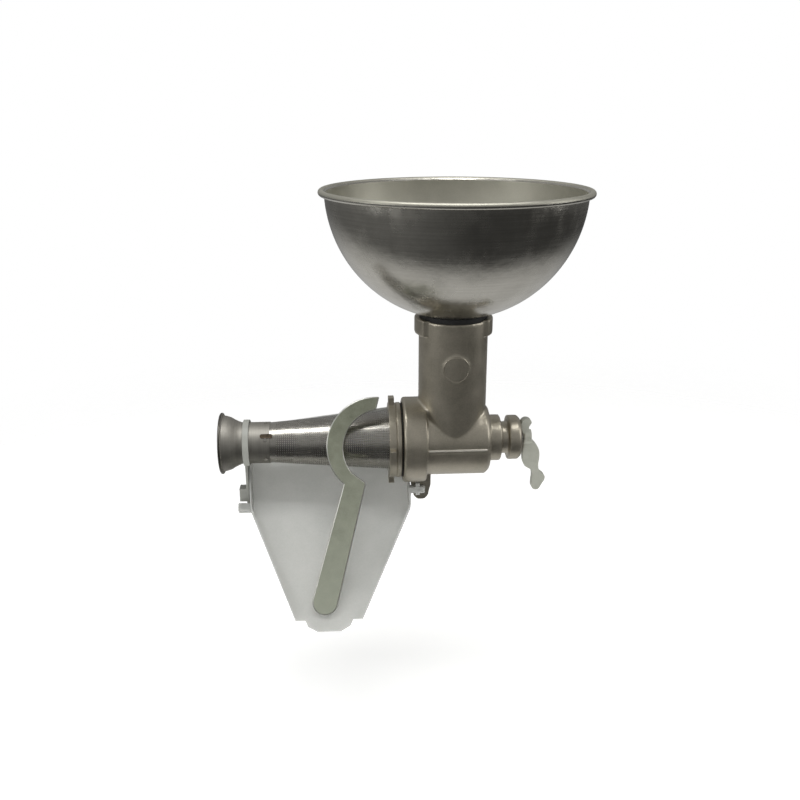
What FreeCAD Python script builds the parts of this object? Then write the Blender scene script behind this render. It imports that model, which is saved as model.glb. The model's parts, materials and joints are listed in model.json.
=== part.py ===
# Power food mill: a cast head with a screw, a perforated cone, a hopper bowl, a drip tray and a ring spanner.
# +X runs along the screw towards the drive hub, +Z is up, -Y is the front.
# The origin is the middle of the hub's end collar.
import FreeCAD, Part
import math
import os

Vector = FreeCAD.Vector
Rotation = FreeCAD.Rotation

# Driving dimensions in millimetres, angles in degrees
dimensions = {
    # drive hub and barrel, lengths counted from the hub's end towards the front
    "hub_end_r": 22.2, "hub_end_len": 12.5, "hub_chamfer": 3.0,
    "hub_groove_r": 16.0, "hub_groove_len": 7.8,
    "hub_step_r": 23.0, "hub_step_len": 12.2,
    "barrel_r": 35.5, "barrel_len": 62.8, "barrel_round": 4.0, "rear_wall": 6.0,
    "parting_rib": 0.7, "parting_h": 1.6,
    "collar_r": 42.5, "collar_len": 22.5, "collar_edge": 1.6,
    "chamber_r": 29.5, "thread_r": 36.8,
    # feed column and its lugs
    "column_r": 33.2, "column_back": 35.9, "column_top": 124.0, "column_bore": 28.0,
    "saddle_fillet": 4.0,
    "lug_r": 37.5, "lug_low": 110.0, "lug_high": 125.5, "lug_half_w": 21.0,
    "pad_r": 13.0, "pad_z": 81.0, "pad_rise": 0.6,
    # ear under the collar
    "ear_len": 20.0, "ear_past": 6.5, "ear_drop": 64.0, "ear_t": 10.0, "ear_tip_r": 8.0,
    # shaft, bush and seal
    "shaft_r": 8.0, "shaft_play": 0.05, "bush_r": 11.0, "bush_inset": 0.5,
    "seal_r": 13.0, "seal_depth": 4.8, "seal_play": 0.1, "fit_gap": 0.02,
    "tail_r": 4.0, "tail_len": 11.6, "tail_slot": 5.2, "tail_step": 0.2,
    # screw
    "screw_rear_gap": 8.6, "screw_play": 0.7, "screw_tip_gap": 5.0, "screw_pitch": 26.0,
    "flight_t": 5.0, "flight_root_r": 7.2, "flight_steps": 12,
    "core_rear_r": 14.0, "core_tip_r": 9.0, "core_bore_len": 56.0,
    "cross_pin_r": 2.5, "cross_pin_back": 38.0,
    "washer_r": 13.5, "washer_t": 1.5, "spring_r": 13.0, "spring_t": 1.2,
    # ring nut
    "nut_gap": 2.0, "nut_rim_len": 4.0, "nut_face_len": 7.6, "nut_r": 37.3, "nut_groove": 0.8,
    "nut_reach": 11.3, "nut_bore": 32.2, "nut_lip": 3.0, "nut_lip_play": 0.8, "thread_play": 0.3,
    "nut_lug_r": 45.0, "nut_lug_w": 9.0, "nut_lug_len": 5.6,
    # cone and funnel
    "gasket_t": 2.0, "flange_t": 2.0, "flange_r": 36.2,
    "cone_len": 141.0, "cone_big_r": 30.85, "cone_small_r": 19.8, "sheet": 1.0,
    "neck_r": 20.0, "neck_len": 27.5, "flare_r": 25.5, "flare_len": 10.8,
    "mouth_r": 27.6, "mouth_len": 9.2, "bead_r": 2.0,
    "rivet_r": 1.7, "rivet_rise": 0.8, "rivet_back": 4.0, "rivet_first": 62.0, "rivet_turn": 60.0,
    # hopper bowl
    "bowl_r": 120.1, "bowl_sheet": 1.4, "rim_bead_r": 3.2, "rim_reach": 7.0,
    "spigot_play": 0.4, "spigot_wall": 1.6, "spigot_depth": 30.0, "spigot_lip": 3.4, "spigot_lip_t": 1.2,
    "seat_ring_r": 32.0, "seat_ring_t": 4.6, "seat_ring_play": 0.3, "seat_ring_room": 0.4,
    # drive wing
    "wing_t": 9.0, "wing_gap": 0.6, "wing_boss_r": 7.5, "wing_boss_in": 3.4, "wing_play": 0.05,
    "wing_pin_r": 1.5, "wing_pin_len": 15.0,
    # drip tray
    "tray_drop": 48.2, "tray_slope": 44.0, "tray_sheet": 2.0, "tray_run": 166.0, "tray_tongue": 11.0,
    "tray_back_right": 27.0, "tray_back_left": 0.0, "tray_neck_clear": 24.0, "tray_nut_room": 12.0,
    "tray_wing_len": 56.0, "tray_over_collar": 8.0, "tray_left_gap": 5.5, "tray_lean": 2.0,
    "spout_w": 64.0, "spout_off": 3.0, "tongue_w": 40.0, "tongue_tip_w": 22.0, "tongue_root_w": 48.0,
    "tongue_root": 3.0, "tongue_shoulder": 6.0,
    "wall_neck_s": 17.0, "wall_neck_w": 29.0, "wall_knee_s": 62.0, "wall_knee_w": 13.0, "wall_tip_w": 7.0,
    "tab_t": 6.7, "tab_h": 6.5, "tab_z": 50.5, "tab_w": 4.3, "prong_h": 6.0,
    "prong_back": 9.5, "prong_low": 2.0, "stop_gap": 0.3,
    # strap
    "strap_w": 6.0, "strap_t": 2.6, "strap_play": 0.35, "strap_back": 26.0,
    "strap_tail": 43.0, "strap_eye_w": 11.0, "strap_knob_len": 7.0, "strap_knob_h": 14.0,
    "peg_back": 19.0, "peg_lift": 8.0, "peg_pitch": 17.0, "peg_play": 0.2,
    "peg_len": 7.0, "peg_size": 5.0, "low_peg_len": 12.0, "low_peg_size": 8.0,
    # ring spanner
    "hook_r": 37.5, "hook_back_r": 47.5, "hook_off": 6.4, "hook_rise": 2.2, "hook_start": 98.5,
    "hook_stop": 216.0, "hook_neck": 228.3, "hook_nose": 85.0, "spanner_t": 4.5,
    "grip_len": 125.0, "grip_w": 24.5, "grip_neck_w": 20.5, "grip_turn": 15.2, "grip_shoulder": 6.0,
    "spanner_stand": 30.0, "spanner_seat": 0.3, "spanner_front": 7.0, "spanner_hang": 7.6,
}

doc = FreeCAD.newDocument("food_mill")
sheet = doc.addObject("Spreadsheet::Sheet", "Sizes")


# A size that remembers how it was worked out, so that it can drive both numbers and expressions
class Size(float):
    def __new__(cls, value, text):
        made = float.__new__(cls, value)
        made.text = text
        return made

    def __add__(self, other):
        return Size(float(self) + float(other), "(%s + %s)" % (self.text, words(other)))

    def __sub__(self, other):
        return Size(float(self) - float(other), "(%s - %s)" % (self.text, words(other)))

    def __mul__(self, other):
        return Size(float(self) * float(other), "(%s * %s)" % (self.text, words(other)))

    def __truediv__(self, other):
        return Size(float(self) / float(other), "(%s / %s)" % (self.text, words(other)))

    def __neg__(self):
        return Size(-float(self), "(0 - %s)" % self.text)


def root(size):
    return Size(math.sqrt(size), "sqrt(%s)" % size.text)


def words(value):
    return value.text if isinstance(value, Size) else repr(float(value))


class Sizes:
    pass


d = Sizes()
for row, (alias, value) in enumerate(dimensions.items(), start=1):
    sheet.set("A%d" % row, alias)
    sheet.set("B%d" % row, str(value))
    sheet.setAlias("B%d" % row, alias)
    setattr(d, alias, Size(value, "Sizes." + alias))
doc.recompute()

pieces = []


def bind(obj, **properties):
    for name, value in properties.items():
        path = name.replace("_", ".") if name.startswith("Placement") else name
        if isinstance(value, Size):
            obj.setExpression(path, value.text)
        else:
            obj.setExpression(path, words(value))
    return obj


turns = {
    "X": Rotation(Vector(0, 1, 0), 90),
    "Y": Rotation(Vector(1, 0, 0), -90),
    "Z": Rotation(),
}


def place(obj, axis, start, centre):
    first, second = centre
    base = {"X": (start, first, second), "Y": (first, start, second), "Z": (first, second, start)}
    obj.Placement.Rotation = turns[axis]
    x, y, z = base[axis]
    return bind(obj, Placement_Base_x=x, Placement_Base_y=y, Placement_Base_z=z)


# A round bar along an axis, from start over length
def bar(radius, start, length, axis="X", centre=(0.0, 0.0)):
    made = bind(doc.addObject("Part::Cylinder", "bar"), Radius=radius, Height=length)
    return place(made, axis, start, centre)


# A taper along X, from the radius at start to the radius at its end
def taper(start_r, end_r, start, length):
    made = bind(doc.addObject("Part::Cone", "taper"), Radius1=start_r, Radius2=end_r, Height=length)
    return place(made, "X", start, (0.0, 0.0))


def block(x, y, z, length, width, height):
    made = bind(doc.addObject("Part::Box", "block"), Length=length, Width=width, Height=height)
    return place(made, "Z", z, (x, y))


def fuse(*members):
    made = doc.addObject("Part::MultiFuse", "joined")
    made.Shapes = list(members)
    made.Refine = True
    return made


def cut(base, *tools):
    made = doc.addObject("Part::Cut", "cut")
    made.Base = base
    made.Tool = tools[0] if len(tools) == 1 else fuse(*tools)
    made.Refine = True
    return made


def common(first, second):
    made = doc.addObject("Part::Common", "shared")
    made.Base = first
    made.Tool = second
    made.Refine = True
    return made


def tube(outer, inner, start, length, axis="X", centre=(0.0, 0.0)):
    return cut(bar(outer, start, length, axis, centre), bar(inner, start, length, axis, centre))


def piece(label, obj):
    obj.Label = label
    pieces.append(obj)
    return obj


def shaped(label, shape):
    made = doc.addObject("Part::Feature", label)
    made.Shape = shape
    return piece(label, made)


# Stations along the screw's axis, from the hub's end to the outlet
hub_face = d.hub_end_len / 2
hub_groove = hub_face - d.hub_end_len
hub_step = hub_groove - d.hub_groove_len
barrel_end = hub_step - d.hub_step_len
collar_back = barrel_end - d.barrel_len
collar_face = collar_back - d.collar_len
flange_face = collar_face + d.nut_reach
gasket_face = flange_face + d.flange_t
seat_face = gasket_face + d.gasket_t
rear_face = barrel_end - d.rear_wall
cone_end = flange_face - d.cone_len
neck_end = cone_end - d.neck_len
flare_end = neck_end - d.flare_len
mouth_end = flare_end - d.mouth_len
nut_rim = collar_face - d.nut_gap - d.nut_rim_len
nut_front = nut_rim - d.nut_face_len
column_x = barrel_end - d.column_back


# The casting: hub, barrel, collar, column, lugs and ear in one
def make_housing():
    barrel = fuse(
        bar(d.barrel_r, collar_face + d.collar_edge, barrel_end - d.barrel_round - collar_face - d.collar_edge),
        taper(d.barrel_r, d.barrel_r - d.barrel_round, barrel_end - d.barrel_round, d.barrel_round),
    )
    column = bar(d.column_r, Size(0.0, "0"), d.column_top, "Z", (column_x, 0.0))
    tee = fuse(barrel, column)
    doc.recompute()
    saddle = doc.addObject("Part::Fillet", "saddle")
    saddle.Base = tee
    round_r = float(d.saddle_fillet)
    saddle.Edges = [(index, round_r, round_r) for index in saddle_edges(tee.Shape)]
    hub = fuse(
        bar(d.hub_step_r, barrel_end, d.hub_step_len),
        bar(d.hub_groove_r, hub_step, d.hub_groove_len),
        bar(d.hub_end_r, hub_groove, d.hub_end_len - d.hub_chamfer),
        taper(d.hub_end_r, d.hub_end_r - d.hub_chamfer, hub_face - d.hub_chamfer, d.hub_chamfer),
    )
    collar = fuse(
        bar(d.collar_r, collar_face + d.collar_edge, d.collar_len - d.collar_edge),
        taper(d.collar_r - d.collar_edge, d.collar_r, collar_face, d.collar_edge),
    )
    rib_r = d.barrel_r + d.parting_rib
    rib = block(collar_back, -rib_r, -d.parting_h, d.barrel_len - d.barrel_round, rib_r * 2, d.parting_h)
    lug_h = d.lug_high - d.lug_low
    lugs = common(
        bar(d.lug_r, d.lug_low, lug_h, "Z", (column_x, 0.0)),
        block(column_x - d.lug_r, -d.lug_half_w, d.lug_low, d.lug_r * 2, d.lug_half_w * 2, lug_h),
    )
    blank_pad = common(
        bar(d.pad_r, -d.lug_r, d.lug_r, "Y", (column_x, d.pad_z)),
        bar(d.column_r + d.pad_rise, d.pad_z - d.pad_r, d.pad_r * 2, "Z", (column_x, 0.0)),
    )
    ear_x = collar_back - d.ear_len / 2 + d.ear_past
    ear = fuse(
        bar(d.ear_tip_r, -d.ear_t / 2, d.ear_t, "Y", (ear_x, d.ear_tip_r - d.ear_drop)),
        block(ear_x - d.ear_len / 2, -d.ear_t / 2, d.ear_tip_r * 2 - d.ear_drop, d.ear_len, d.ear_t,
              d.ear_drop - d.ear_tip_r * 2),
        ear_web(ear_x),
    )
    solid = fuse(saddle, hub, collar, rib, lugs, blank_pad, ear)
    return cut(
        solid,
        bar(d.thread_r, collar_face, seat_face - collar_face),
        bar(d.chamber_r, seat_face, rear_face - seat_face),
        bar(d.column_bore, Size(0.0, "0"), d.lug_high * 2, "Z", (column_x, 0.0)),
        bar(d.bush_r, rear_face, hub_face - rear_face),
        bar(d.seal_r, rear_face, d.seal_depth),
        clear_front_lugs(),
    )


# Edges where the column meets the barrel: every point of them lies on both round walls
def saddle_edges(shape):
    found = []
    for index, edge in enumerate(shape.Edges, start=1):
        points = edge.discretize(7)
        on_barrel = all(abs(math.hypot(p.y, p.z) - d.barrel_r) < 0.01 for p in points)
        on_column = all(abs(math.hypot(p.x - column_x, p.y) - d.column_r) < 0.01 for p in points)
        if on_barrel and on_column:
            found.append(index)
    return found


# The ear narrows from the collar to its round tip
def ear_web(ear_x):
    web = doc.addObject("Part::Wedge", "ear_web")
    bind(web, Xmin=ear_x - d.ear_tip_r, Xmax=ear_x + d.ear_tip_r,
         X2min=ear_x - d.ear_len / 2, X2max=ear_x + d.ear_len / 2,
         Ymin=d.ear_tip_r - d.ear_drop, Ymax=d.ear_tip_r * 2 - d.ear_drop,
         Zmin=-d.ear_t / 2, Zmax=d.ear_t / 2, Z2min=-d.ear_t / 2, Z2max=d.ear_t / 2)
    web.Placement.Rotation = Rotation(Vector(1, 0, 0), 90)
    return web


# The lugs stand only beside the column's top, where the bowl seats between them
def clear_front_lugs():
    return bar(d.seat_ring_r + d.seat_ring_room, d.column_top, d.lug_high, "Z", (column_x, 0.0))


piece("housing", make_housing())
piece("rear_bush", tube(d.bush_r - d.fit_gap, d.shaft_r + d.shaft_play, rear_face + d.seal_depth,
                        hub_face - d.bush_inset - rear_face - d.seal_depth))
piece("shaft_seal", tube(d.seal_r - d.fit_gap, d.shaft_r + d.seal_play, rear_face, d.seal_depth))
piece("cone_gasket", tube(d.flange_r, d.chamber_r, gasket_face, d.gasket_t))

# Cone group: perforated cone, clamping flange, outlet funnel and its rivets
piece("filter_cone", cut(
    taper(d.cone_small_r, d.cone_big_r, cone_end, d.cone_len),
    taper(d.cone_small_r - d.sheet, d.cone_big_r - d.sheet, cone_end, d.cone_len),
))
piece("cone_flange", tube(d.flange_r, d.cone_big_r - d.sheet, flange_face, d.flange_t))


def make_funnel():
    bead = bind(doc.addObject("Part::Torus", "bead"), Radius1=d.mouth_r, Radius2=d.bead_r)
    place(bead, "X", mouth_end, (0.0, 0.0))
    outer = fuse(
        bar(d.neck_r, neck_end, d.neck_len),
        taper(d.flare_r, d.neck_r, flare_end, d.flare_len),
        taper(d.mouth_r, d.flare_r, mouth_end, d.mouth_len),
        bead,
    )
    return cut(
        outer,
        bar(d.neck_r - d.sheet, neck_end, d.neck_len),
        taper(d.flare_r - d.sheet, d.neck_r - d.sheet, flare_end, d.flare_len),
        taper(d.mouth_r - d.sheet, d.flare_r - d.sheet, mouth_end, d.mouth_len),
        bar(d.mouth_r - d.sheet, mouth_end - d.bead_r, d.bead_r),
    )


piece("outlet_funnel", make_funnel())


def make_rivets():
    heads = []
    for number in range(int(360 / d.rivet_turn)):
        head = Part.makeCylinder(d.rivet_r, d.rivet_rise, Vector(0, 0, d.neck_r + d.fit_gap), Vector(0, 0, 1))
        head.translate(Vector(cone_end - d.rivet_back, 0, 0))
        head.rotate(Vector(), Vector(1, 0, 0), float(d.rivet_first + d.rivet_turn * number))
        heads.append(head)
    return Part.makeCompound(heads)


shaped("neck_rivets", make_rivets())


# Ring nut: a lugged face, a rim, and a plain sleeve where its thread is
def make_nut():
    lugs = []
    for turn in range(4):
        lug = block(nut_front, -d.nut_lug_w / 2, Size(0.0, "0"), d.nut_lug_len, d.nut_lug_w, d.nut_lug_r)
        lug.Placement.Rotation = Rotation(Vector(1, 0, 0), 90 * turn)
        angle = math.radians(90 * turn)
        bind(lug, Placement_Base_y=-d.nut_lug_w / 2 * round(math.cos(angle)),
             Placement_Base_z=-d.nut_lug_w / 2 * round(math.sin(angle)))
        lugs.append(lug)
    solid = fuse(
        bar(d.nut_r, nut_front, d.nut_face_len - d.nut_groove),
        bar(d.nut_r - d.nut_groove, nut_rim - d.nut_groove, d.nut_groove),
        bar(d.nut_r, nut_rim, d.nut_rim_len),
        bar(d.thread_r - d.thread_play, nut_rim + d.nut_rim_len, d.nut_gap + d.nut_reach),
        *lugs,
    )
    slope = (d.cone_big_r - d.cone_small_r) / d.cone_len
    lip_r = d.cone_big_r - slope * (flange_face - nut_front - d.nut_lip) + d.nut_lip_play
    return cut(
        solid,
        bar(d.nut_bore, nut_front + d.nut_lip, flange_face - nut_front - d.nut_lip),
        bar(lip_r, nut_front, d.nut_lip),
    )


piece("ring_nut", make_nut())


# How far below a ball's centre its wall lies, at a distance from the axis
def drop_at(ball_r, away):
    return root(ball_r * ball_r - away * away)


# Hopper: bowl, its spigot in the column and the rubber ring that it sits on
spigot_r = d.column_bore - d.spigot_play
ring_top = d.column_top + d.seat_ring_t
bowl_z = ring_top + d.fit_gap + drop_at(d.bowl_r, spigot_r + d.seat_ring_play)
spigot_top = bowl_z - drop_at(d.bowl_r - d.bowl_sheet, spigot_r + d.spigot_lip) + d.fit_gap


def make_bowl():
    half = {}
    for name, radius in (("outer", d.bowl_r), ("inner", d.bowl_r - d.bowl_sheet)):
        ball = bind(doc.addObject("Part::Sphere", name), Radius=radius)
        ball.Angle1 = -90
        ball.Angle2 = 0
        half[name] = place(ball, "Z", bowl_z, (column_x, 0.0))
    bead_centre = d.bowl_r + d.rim_reach - d.rim_bead_r
    bead = bind(doc.addObject("Part::Torus", "bead"), Radius1=bead_centre, Radius2=d.rim_bead_r)
    place(bead, "Z", bowl_z - d.rim_bead_r, (column_x, 0.0))
    lip_low = bowl_z - d.rim_bead_r - d.bowl_sheet / 2
    lip = tube(bead_centre, d.bowl_r - d.bowl_sheet / 2, lip_low, d.bowl_sheet, "Z", (column_x, 0.0))
    hole = bar(spigot_r + d.fit_gap, d.column_top, d.bowl_r, "Z", (column_x, 0.0))
    shell = cut(half["outer"], half["inner"], hole)
    return fuse(shell, lip, bead)


piece("bowl", make_bowl())
spigot_low = d.column_top - d.spigot_depth
piece("bowl_spigot", cut(
    fuse(
        bar(spigot_r, spigot_low, spigot_top - spigot_low, "Z", (column_x, 0.0)),
        bar(spigot_r + d.spigot_lip, spigot_top, d.spigot_lip_t, "Z", (column_x, 0.0)),
    ),
    bar(spigot_r - d.spigot_wall, spigot_low, d.bowl_r, "Z", (column_x, 0.0)),
))
ring_bore = spigot_r + d.seat_ring_play
piece("seat_ring", tube(d.seat_ring_r, ring_bore, d.column_top, d.seat_ring_t, "Z", (column_x, 0.0)))

# Screw, shaft and the pieces on the shaft
screw_rear = rear_face - d.screw_rear_gap
screw_tip = cone_end + d.screw_tip_gap
core_bore_end = screw_rear - d.core_bore_len


# Radius of the flight: the chamber's behind the cone, the cone's own inside it
def flight_radius(x):
    if x > flange_face:
        return d.chamber_r - d.screw_play
    slope = (d.cone_big_r - d.cone_small_r) / d.cone_len
    return d.cone_small_r - d.sheet + slope * (x - cone_end) - d.screw_play


def make_screw():
    length = float(screw_rear - screw_tip)
    steps = int(d.flight_steps) * math.ceil(length / d.screw_pitch)
    sections = []
    for step in range(steps + 1):
        along = step / steps
        x = float(screw_tip) + d.flight_t / 2 + along * (length - d.flight_t)
        reach = flight_radius(x - d.flight_t / 2)
        angle = 2 * math.pi * along * length / d.screw_pitch
        foot = float(d.flight_t / 2)
        crest = float(d.flight_t / 4)
        inner = d.flight_root_r
        corners = [(x - foot, inner), (x - crest, reach), (x + crest, reach), (x + foot, inner)]
        points = [Vector(cx, -r * math.sin(angle), r * math.cos(angle)) for cx, r in corners]
        sections.append(Part.makePolygon(points + points[:1]))
    flight = Part.makeLoft(sections, True, True)
    core = Part.makeCone(d.core_tip_r, d.core_rear_r, length, Vector(screw_tip, 0, 0), Vector(1, 0, 0))
    bore_r = d.shaft_r + d.fit_gap
    bore = Part.makeCylinder(bore_r, d.core_bore_len * 2, Vector(core_bore_end, 0, 0), Vector(1, 0, 0))
    pin = Part.makeCylinder(d.cross_pin_r + d.fit_gap, d.chamber_r * 2,
                            Vector(screw_rear - d.cross_pin_back, 0, -d.chamber_r), Vector(0, 0, 1))
    return core.fuse(flight).cut(bore).cut(pin)


shaped("screw", make_screw())


def make_shaft():
    shaft = fuse(
        bar(d.shaft_r, core_bore_end, hub_face - core_bore_end + d.tail_step),
        bar(d.tail_r, hub_face + d.tail_step, d.tail_len),
    )
    slot_w = (d.wing_pin_r + d.peg_play / 2) * 2
    slot_x = hub_face + d.tail_step + d.tail_len - d.tail_slot
    slot = block(slot_x, -d.tail_r, -slot_w / 2, d.tail_slot, d.tail_r * 2, slot_w)
    pin_x = screw_rear - d.cross_pin_back
    pin_hole = bar(d.cross_pin_r + d.fit_gap, -d.shaft_r * 2, d.shaft_r * 4, "Z", (pin_x, 0.0))
    return cut(shaft, slot, pin_hole)


piece("screw_shaft", make_shaft())
cross_pin_x = screw_rear - d.cross_pin_back
piece("cross_pin", bar(d.cross_pin_r, -d.core_tip_r, d.core_tip_r * 2, "Z", (cross_pin_x, 0.0)))
washer_face = rear_face - d.washer_t
piece("thrust_washer", tube(d.washer_r, d.shaft_r + d.seal_play, washer_face, d.washer_t))


# Cup spring between the screw's back and the washer
def make_spring():
    free = washer_face - screw_rear
    lip = d.shaft_r + d.seal_play
    outer = taper(lip + d.spring_t, d.spring_r, screw_rear, free)
    inner = taper(lip, d.spring_r - d.spring_t, screw_rear, free)
    return cut(outer, inner)


piece("cup_spring", make_spring())

# Drive wing on the shaft's slotted tail
wing_x = hub_face + d.tail_step + d.wing_gap


# The wing's outline, as offsets from its inner edge at the shaft's axis: (towards the drive, up)
wing_outline = [
    (0.2, 15.9), (3.5, 19.6), (8.6, 19.2), (10.8, 16.4), (8.6, 12.1), (9.0, 6.5), (11.4, -1.9),
    (15.6, -6.6), (19.6, -13.7), (20.2, -21.6), (19.6, -30.1), (22.2, -37.6), (26.6, -41.8), (26.0, -46.9),
    (23.2, -51.6), (20.0, -56.3), (14.8, -55.5), (13.4, -48.8), (13.8, -41.3), (11.6, -34.3), (6.4, -31.0),
    (3.2, -23.5), (3.0, -13.2), (3.6, -4.8), (1.6, 6.5),
]


def make_wing():
    points = [Vector(wing_x + x, -d.wing_t / 2, z) for x, z in wing_outline]
    outline = Part.BSplineCurve()
    outline.interpolate(points, PeriodicFlag=True)
    blade = Part.Face(Part.Wire(outline.toShape())).extrude(Vector(0, d.wing_t, 0))
    boss_start = wing_x + d.wing_boss_in
    boss_len = hub_face + d.tail_step + d.tail_len - boss_start
    boss = Part.makeCylinder(d.wing_boss_r, boss_len, Vector(boss_start, 0, 0), Vector(1, 0, 0))
    bore = Part.makeCylinder(d.tail_r + d.wing_play, d.tail_len * 2, Vector(hub_face, 0, 0), Vector(1, 0, 0))
    pin_side = Vector(pin_x, -d.wing_boss_r * 2, 0)
    pin = Part.makeCylinder(d.wing_pin_r + d.fit_gap, d.wing_boss_r * 4, pin_side, Vector(0, 1, 0))
    return blade.fuse(boss).cut(bore).cut(pin)


pin_x = hub_face + d.tail_step + d.tail_len - d.tail_slot / 2
shaped("drive_wing", make_wing())
piece("wing_pin", bar(d.wing_pin_r, -d.wing_pin_len / 2, d.wing_pin_len, "Y", (pin_x, 0.0)))

# Drip tray: a sloping chute with low side walls, curved up behind the cone
slope = math.radians(d.tray_slope)
down = (-math.cos(slope), -math.sin(slope))
out = (-math.sin(slope), math.cos(slope))


# A point of the tray's side view: s down the chute from under the screw, w above its underside
def chute(s, w, x=0.0):
    lift = w - d.tray_drop
    return Vector(x, s * down[0] + lift * out[0], s * down[1] + lift * out[1])


def polar(radius, degrees, x=0.0):
    return Vector(x, radius * math.cos(math.radians(degrees)), radius * math.sin(math.radians(degrees)))


tray_right = collar_face + d.tray_over_collar
tray_left = neck_end + d.tray_left_gap
spout_mid = (tray_right + tray_left) / 2 - d.spout_off
tray_width = float(tray_right - tray_left)


# The chute's outline seen square to its floor, with the side walls' thickness taken off by inset
def plan_prism(inset, past_ends):
    half_spout = d.spout_w / 2 - inset
    end = d.tray_run + (2 * past_ends)
    top = -d.tray_drop * 2
    points = [
        (tray_right - inset, top), (tray_right - inset, d.tray_wing_len), (spout_mid + half_spout, end),
        (spout_mid - half_spout, end), (tray_left + inset, d.tray_wing_len),
        (tray_left - d.tray_lean + inset, 0.0), (tray_left - d.tray_lean + inset, top),
    ]
    corners = [chute(s, -1.0, float(x)) for x, s in points]
    height = d.tray_drop * 3
    lift = Vector(0, out[0] * height, out[1] * height)
    return Part.Face(Part.makePolygon(corners + corners[:1])).extrude(lift)


def side_prism(edges, start, length):
    face = Part.Face(Part.Wire(edges))
    face.translate(Vector(start, 0, 0))
    return face.extrude(Vector(length, 0, 0))


def arc(radius, first, last):
    middle = (first + last) / 2
    return Part.Arc(polar(radius, first), polar(radius, middle), polar(radius, last)).toShape()


def make_tray():
    t = d.tray_sheet
    low = d.tray_slope - 90.0
    drop = d.tray_drop
    back = d.tray_back_right
    past_left = float(tray_left - d.tray_lean - t)
    floor = side_prism([
        Part.makeLine(chute(d.tray_run, 0), chute(0, 0)), arc(drop, low, back),
        Part.makeLine(polar(drop, back), polar(drop - t, back)), arc(drop - t, back, low),
        Part.makeLine(chute(0, t), chute(d.tray_run, t)),
        Part.makeLine(chute(d.tray_run, t), chute(d.tray_run, 0)),
    ], past_left, tray_width * 2)
    walls = side_prism([
        Part.makeLine(chute(d.tray_run, 0), chute(0, 0)), arc(drop, low, d.tray_back_left),
        Part.makeLine(polar(drop, d.tray_back_left), Vector(0, 0, 0)),
        Part.makeLine(Vector(0, 0, 0), chute(d.wall_neck_s, d.wall_neck_w)),
        Part.makeLine(chute(d.wall_neck_s, d.wall_neck_w), chute(d.wall_knee_s, d.wall_knee_w)),
        Part.makeLine(chute(d.wall_knee_s, d.wall_knee_w), chute(d.tray_run, d.wall_tip_w)),
        Part.makeLine(chute(d.tray_run, d.wall_tip_w), chute(d.tray_run, 0)),
    ], past_left, tray_width * 2)
    outline = plan_prism(0.0, 0.0)
    inside = plan_prism(float(t), float(t))
    shell = floor.common(outline).fuse(walls.common(outline).cut(inside))
    along = Vector(1, 0, 0)
    neck_room = Part.makeCylinder(d.tray_neck_clear, tray_width, Vector(past_left, 0, 0), along)
    nut_room = Part.makeCylinder(drop - t, tray_width, Vector(tray_left + d.tray_nut_room, 0, 0), along)
    slant = Part.makeBox(tray_width * 2, drop * 2, drop * 2)
    rise = drop * (math.sin(math.radians(back)) - math.sin(math.radians(d.tray_back_left)))
    slant.rotate(Vector(), Vector(0, 1, 0), -math.degrees(math.atan2(rise, tray_width)))
    slant.translate(Vector(tray_left - d.tray_lean, 0, drop * math.sin(math.radians(d.tray_back_left))))
    shell = shell.cut(neck_room).cut(nut_room).cut(slant)
    pegs = [peg(0, d.peg_len, d.peg_size), peg(1, d.low_peg_len, d.low_peg_size)]
    return shell.fuse([tongue(), stop_tab()] + pegs).removeSplitter()


# The lip of the spout below the chute
def tongue():
    right = [
        (d.tongue_root_w / 2, -d.tongue_root),
        (d.tongue_w / 2, d.tongue_shoulder),
        (d.tongue_tip_w / 2, d.tray_tongue),
    ]
    left = [(-x, s) for x, s in reversed(right)]
    points = [chute(d.tray_run + s, 0, float(spout_mid + x)) for x, s in right + left]
    thick = Vector(0, out[0] * d.tray_sheet, out[1] * d.tray_sheet)
    return Part.Face(Part.makePolygon(points + points[:1])).extrude(thick)


# The tab that stops the tray against the front of the ear
def stop_tab():
    back_y = -d.ear_t / 2 - d.stop_gap
    left = float(tray_right - d.tray_sheet)
    right = float(collar_back)
    bar_low = -d.tab_z - d.tab_h / 2
    arm = Part.makeBox(right - left, d.tab_t, d.tab_h, Vector(left, back_y - d.tab_t, bar_low))
    prong_corner = Vector(right - d.prong_back, back_y - d.tab_t, bar_low - d.prong_low)
    prong = Part.makeBox(d.tab_w, d.tab_t, d.tab_h + d.prong_h, prong_corner)
    return arm.fuse(prong)


# Pegs on the left wall: the strap's eye goes over the upper one, and grow leaves it room there
def peg(index, length, across, grow=0.0):
    s = d.wall_neck_s + d.peg_back + index * d.peg_pitch
    x = tray_left - d.tray_lean * max(0.0, 1 - s / d.tray_wing_len)
    size = across + grow * 2
    made = Part.makeBox(length + d.tray_sheet, size, size, Vector(-length, -size / 2, -size / 2))
    made.rotate(Vector(), Vector(1, 0, 0), float(d.tray_slope))
    made.translate(chute(s, d.peg_lift, float(x)))
    return made


shaped("drip_tray", make_tray())


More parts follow.
